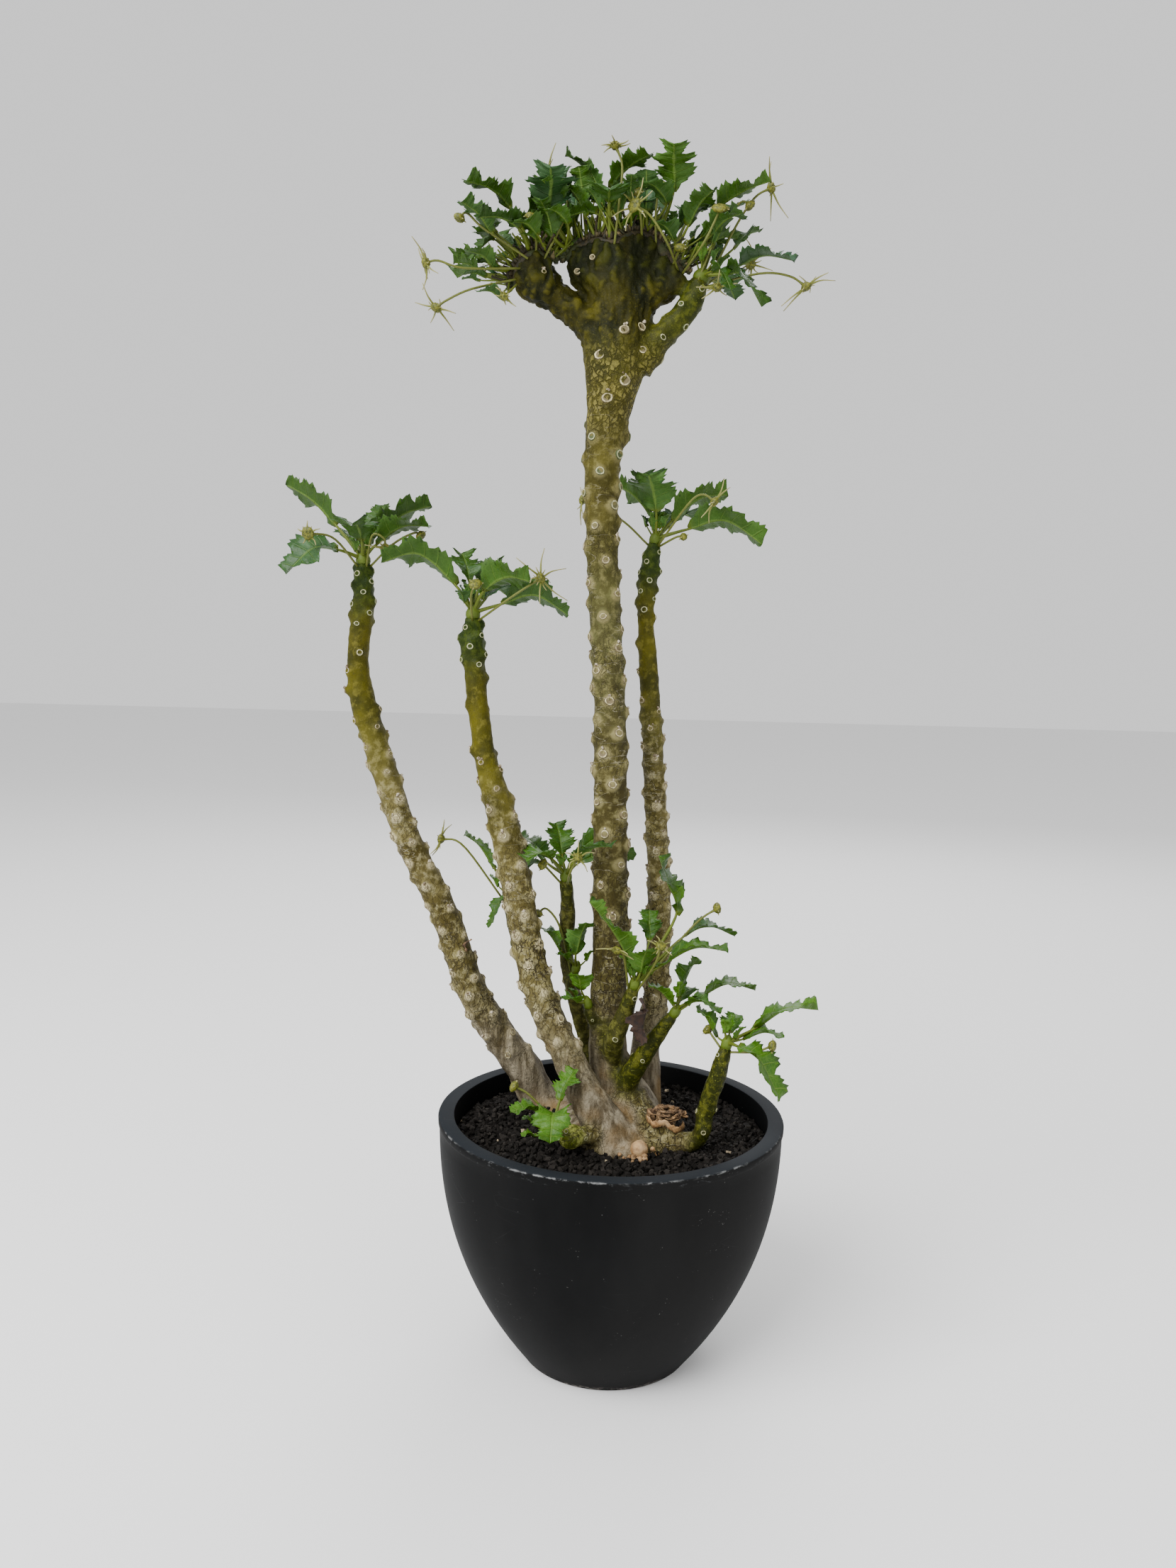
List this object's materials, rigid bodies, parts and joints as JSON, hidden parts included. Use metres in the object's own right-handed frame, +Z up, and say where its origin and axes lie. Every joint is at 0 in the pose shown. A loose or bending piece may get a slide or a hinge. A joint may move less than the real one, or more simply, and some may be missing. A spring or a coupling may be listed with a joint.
{
  "type": "potted crested dorstenia",
  "caption": "Old crested dorstenia in a round black plastic pot: a scarred trunk ending in fanned, leafy crests, plain side stems with leaf heads, and star-like blooms",
  "frame": {"origin": "centre of the pot's flat base, on the plane it stands on", "axes": "+Z up along the pot; +X to the right and -Y to the front, as seen from the side shown, where the crest leans left and right of the trunk"},
  "size_m": [0.2302, 0.15, 0.5121],
  "materials": {
    "pot_plastic": "matte",
    "soil_grit": "rough",
    "stem_bark": "rough",
    "leaf_green": "satin",
    "bloom_green": "satin",
    "dry_leaf": "matte"
  },
  "bodies": {
    "root": {"pot": "pot_plastic", "soil": "soil_grit", "plant_body": "stem_bark", "leaf_head_left_stem": "leaf_green", "leaf_head_centre_stem": "leaf_green", "leaf_head_right_stem": "leaf_green", "leaf_head_back_shoot": "leaf_green", "leaf_head_side_shoot": "leaf_green", "leaf_head_trunk_bud": "leaf_green", "leaf_head_front_shoot": "leaf_green", "leaf_head_right_shoot": "leaf_green", "leaf_head_outer_shoot": "leaf_green", "leaf_head_low_shoot": "leaf_green", "leaf_head_thin_shoot": "leaf_green", "leaf_head_crest_branch": "leaf_green", "leaf_head_left_fan": "leaf_green", "leaf_head_centre_fan": "leaf_green", "bloom_left_fan_1": "bloom_green", "bloom_left_fan_2": "bloom_green", "bloom_left_fan_3": "bloom_green", "bloom_left_fan_4": "bloom_green", "bloom_left_fan_5": "bloom_green", "bloom_left_fan_6": "bloom_green", "bloom_left_fan_7": "bloom_green", "bloom_centre_fan_1": "bloom_green", "bloom_centre_fan_2": "bloom_green", "bloom_centre_fan_3": "bloom_green", "bloom_centre_fan_4": "bloom_green", "bloom_centre_fan_5": "bloom_green", "bloom_centre_fan_6": "bloom_green", "bloom_centre_fan_7": "bloom_green", "bloom_centre_fan_8": "bloom_green", "bloom_crest_branch_1": "bloom_green", "bloom_crest_branch_2": "bloom_green", "bloom_crest_branch_3": "bloom_green", "bloom_crest_branch_4": "bloom_green", "bloom_crest_branch_5": "bloom_green", "bloom_left_stem_1": "bloom_green", "bloom_left_stem_2": "bloom_green", "bloom_left_stem_3": "bloom_green", "bloom_centre_stem_1": "bloom_green", "bloom_centre_stem_2": "bloom_green", "bloom_right_stem_1": "bloom_green", "bloom_right_stem_2": "bloom_green", "bloom_right_stem_3": "bloom_green", "bloom_back_shoot_1": "bloom_green", "bloom_back_shoot_2": "bloom_green", "bloom_side_shoot_1": "bloom_green", "bloom_thin_shoot_1": "bloom_green", "bloom_front_shoot_1": "bloom_green", "bloom_front_shoot_2": "bloom_green", "bloom_front_shoot_3": "bloom_green", "bloom_outer_shoot_1": "bloom_green", "bloom_outer_shoot_2": "bloom_green", "bloom_low_shoot_1": "bloom_green", "withered_leaf": "dry_leaf"}
  },
  "joints": []
}
